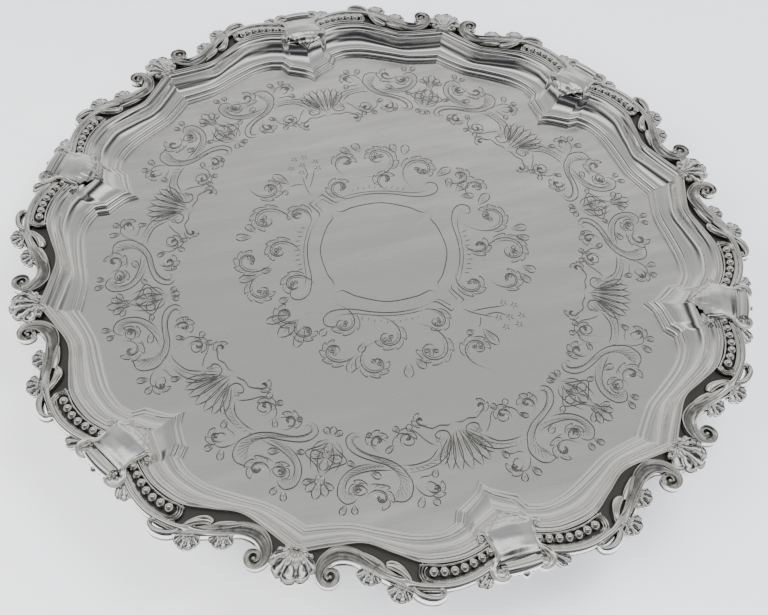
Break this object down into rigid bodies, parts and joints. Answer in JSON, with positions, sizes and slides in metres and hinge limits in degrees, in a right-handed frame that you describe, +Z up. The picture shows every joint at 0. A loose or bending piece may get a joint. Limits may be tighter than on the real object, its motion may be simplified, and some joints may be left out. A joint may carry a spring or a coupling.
{
  "type": "salver",
  "caption": "Six-lobed silver salver with an engraved flat field, a moulded rim, a cast scroll, shell and bead border, plain shield cartouches and scroll feet.",
  "frame": {"origin": "on the table under the middle of the plate, at the soles of the feet", "axes": "+Z up; +X towards the middle of a shell; a cartouche lies on +Y"},
  "size_m": [0.506, 0.5012, 0.0474],
  "materials": {
    "plate_silver": "polished sterling silver with fine polishing lines",
    "border_silver": "polished cast sterling silver, dark in the recesses",
    "bead_silver": "polished cast sterling silver",
    "shell_silver": "polished cast sterling silver, dark in the recesses",
    "cartouche_silver": "bright polished sterling silver",
    "foot_silver": "polished cast sterling silver"
  },
  "bodies": {
    "root": {"plate": "plate_silver", "border_left_1": "border_silver", "border_left_2": "border_silver", "border_left_3": "border_silver", "border_left_4": "border_silver", "border_left_5": "border_silver", "border_left_6": "border_silver", "border_right_1": "border_silver", "border_right_2": "border_silver", "border_right_3": "border_silver", "border_right_4": "border_silver", "border_right_5": "border_silver", "border_right_6": "border_silver", "beads_left_1": "bead_silver", "beads_left_2": "bead_silver", "beads_left_3": "bead_silver", "beads_left_4": "bead_silver", "beads_left_5": "bead_silver", "beads_left_6": "bead_silver", "beads_right_1": "bead_silver", "beads_right_2": "bead_silver", "beads_right_3": "bead_silver", "beads_right_4": "bead_silver", "beads_right_5": "bead_silver", "beads_right_6": "bead_silver", "shell_1": "shell_silver", "shell_2": "shell_silver", "shell_3": "shell_silver", "shell_4": "shell_silver", "shell_5": "shell_silver", "shell_6": "shell_silver", "cartouche_1": "cartouche_silver", "cartouche_2": "cartouche_silver", "cartouche_3": "cartouche_silver", "cartouche_4": "cartouche_silver", "cartouche_5": "cartouche_silver", "cartouche_6": "cartouche_silver", "foot_1": "foot_silver", "foot_2": "foot_silver", "foot_3": "foot_silver", "foot_4": "foot_silver", "foot_5": "foot_silver", "foot_6": "foot_silver"}
  },
  "joints": []
}
